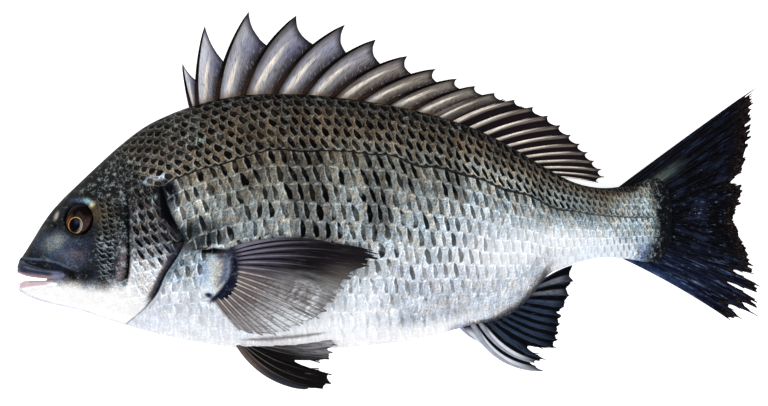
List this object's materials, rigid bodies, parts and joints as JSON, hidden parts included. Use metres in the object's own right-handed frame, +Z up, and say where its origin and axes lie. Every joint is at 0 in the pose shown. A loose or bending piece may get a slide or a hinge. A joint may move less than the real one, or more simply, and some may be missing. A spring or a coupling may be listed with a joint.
{
  "type": "whole raw sea bream",
  "caption": "Whole raw dark sea bream in its scales with all its fins, lying flat on its right side, mouth slightly open.",
  "frame": {"origin": "middle of the bounding box, on the surface that the fish lies on", "axes": "+X towards the tail, +Y towards the back, +Z up through the left flank that shows"},
  "size_m": [0.3187, 0.1624, 0.0455],
  "materials": {
    "skin": "wet, glossy scaled skin, brown-black along the back, silver grey on the flank, white below",
    "eye": "wet and clear, dark bronze iris with a thin gold ring round a blue-black pupil"
  },
  "bodies": {
    "root": {"fish": "skin", "eye_left": "eye", "eye_right": "eye"}
  },
  "joints": []
}
